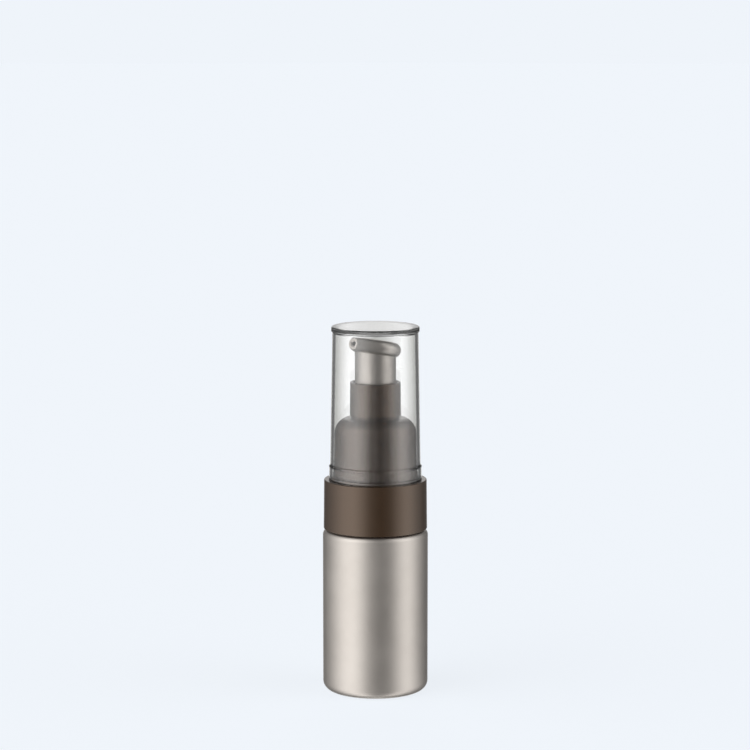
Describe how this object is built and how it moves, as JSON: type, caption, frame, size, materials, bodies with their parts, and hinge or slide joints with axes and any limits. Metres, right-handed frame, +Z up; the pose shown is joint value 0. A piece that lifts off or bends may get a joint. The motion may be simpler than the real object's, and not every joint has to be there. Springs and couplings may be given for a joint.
{
  "type": "lotion pump bottle",
  "caption": "Small cylindrical lotion bottle with a screw-on pump, tilted disc actuator, domed closure with chimney, shoulder ring and clear overcap.",
  "frame": {"origin": "centre of the base, on the surface that the bottle stands on", "axes": "+Z up along the bottle's axis, -Y towards the front of the picture; the actuator's outlet points front left"},
  "size_m": [0.0314, 0.0315, 0.1102],
  "materials": {
    "silver_pet": "satin champagne-silver lacquer on blow-moulded PET",
    "silver_pp": "satin champagne-silver lacquer on moulded polypropylene",
    "brown_pp": "satin dark brown moulded polypropylene",
    "clear_petg": "clear moulded PETG",
    "natural_pp": "natural milky polypropylene",
    "natural_pe": "natural soft polyethylene",
    "spring_steel": "drawn stainless spring wire",
    "ball_steel": "polished stainless ball",
    "tube_pe": "translucent extruded polyethylene"
  },
  "bodies": {
    "bottle": {"bottle": "silver_pet"},
    "shoulder_ring": {"shoulder_ring": "brown_pp"},
    "pump": {"housing": "natural_pp", "chaplet": "natural_pp", "neck_gasket": "natural_pe", "dip_tube": "tube_pe"},
    "closure": {"closure": "brown_pp"},
    "overcap": {"overcap": "clear_petg"},
    "stem": {"stem": "natural_pp", "poppet": "natural_pp", "return_spring": "spring_steel"},
    "piston": {"piston": "natural_pe"},
    "actuator": {"actuator": "silver_pp"},
    "ball": {"inlet_ball": "ball_steel"}
  },
  "joints": [
    {"name": "ring_lift", "type": "slide", "parent": "bottle", "child": "shoulder_ring", "axis": [0, 0, 1], "range_m": [0, 0.03435]},
    {"name": "closure_rise", "type": "slide", "parent": "shoulder_ring", "child": "pump", "axis": [0, 0, 1], "range_m": [0, 0.00476]},
    {"name": "closure_turn", "type": "hinge", "parent": "pump", "child": "closure", "pos_m": [0, 0, 0.07], "axis": [0, 0, -1], "range_deg": [-540, 0]},
    {"name": "cap_lift", "type": "slide", "parent": "closure", "child": "overcap", "axis": [0, 0, 1], "range_m": [0, 0.04575]},
    {"name": "actuator_press", "type": "slide", "parent": "pump", "child": "stem", "axis": [0, 0, 1], "range_m": [-0.006, 0], "stiffness_N_per_m": 800, "springref_m": 0.004, "deforming": ["return_spring"]},
    {"name": "actuator_swivel", "type": "hinge", "parent": "stem", "child": "actuator", "pos_m": [0, 0, 0.1], "axis": [0, 0, 1], "continuous": true},
    {"name": "piston_slip", "type": "slide", "parent": "stem", "child": "piston", "axis": [0, 0, 1], "range_m": [0, 0.0006]},
    {"name": "ball_lift", "type": "slide", "parent": "pump", "child": "ball", "axis": [0, 0, 1], "range_m": [0, 0.001]}
  ],
  "couplings": [
    {"joint": "closure_rise", "follows": "closure_turn", "m_per_rad": -0.00050532}
  ]
}
